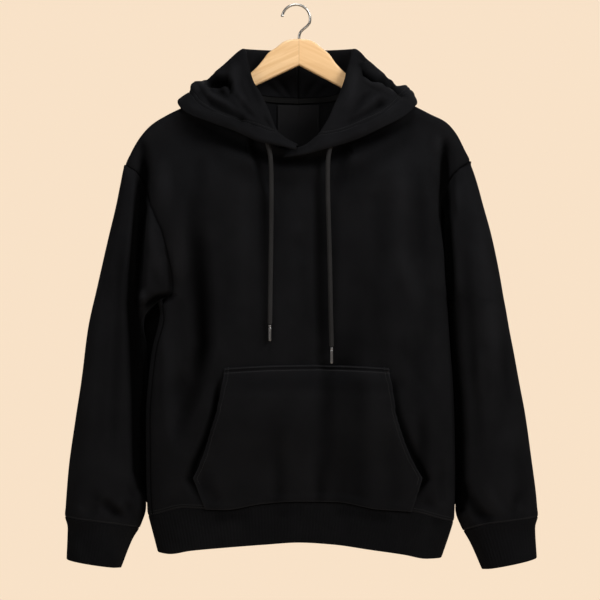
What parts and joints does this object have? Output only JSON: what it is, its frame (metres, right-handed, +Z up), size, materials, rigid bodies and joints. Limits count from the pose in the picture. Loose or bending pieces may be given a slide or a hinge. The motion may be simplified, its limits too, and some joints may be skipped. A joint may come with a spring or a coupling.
{
  "type": "pullover hoodie on a wooden hanger",
  "caption": "Black pullover hoodie with a lined hood, kangaroo pocket, rib cuffs and hem and a drawcord, hanging on a plain wooden hanger with a wire hook.",
  "frame": {"origin": "inside top of the hook's crown, where a rail carries the hanger", "axes": "+Z up, -Y is the garment's front, +X is the wearer's left; the hanger's arms lie in the plane Y = 0"},
  "size_m": [0.719, 0.2017, 0.8596],
  "materials": {
    "black_fleece": "matte brushed-back cotton fleece",
    "black_rib": "matte 2x2 rib knit",
    "black_tape": "herringbone cotton tape",
    "label_satin": "woven satin, plain",
    "cord_grey": "braided cotton cord",
    "aglet_metal": "dark brushed metal",
    "beech": "clear satin varnish",
    "hook_steel": "polished steel wire"
  },
  "bodies": {
    "root": {"body_front": "black_fleece", "body_back": "black_fleece", "sleeve_right": "black_fleece", "sleeve_left": "black_fleece", "cuff_right": "black_rib", "cuff_left": "black_rib", "hem_rib": "black_rib", "pocket": "black_fleece", "hood_right": "black_fleece", "hood_left": "black_fleece", "neck_tape": "black_tape", "neck_label": "label_satin", "cord_right": "cord_grey", "cord_left": "cord_grey", "aglet_right": "aglet_metal", "aglet_left": "aglet_metal", "hanger_wood": "beech", "hanger_hook": "hook_steel"}
  },
  "joints": []
}
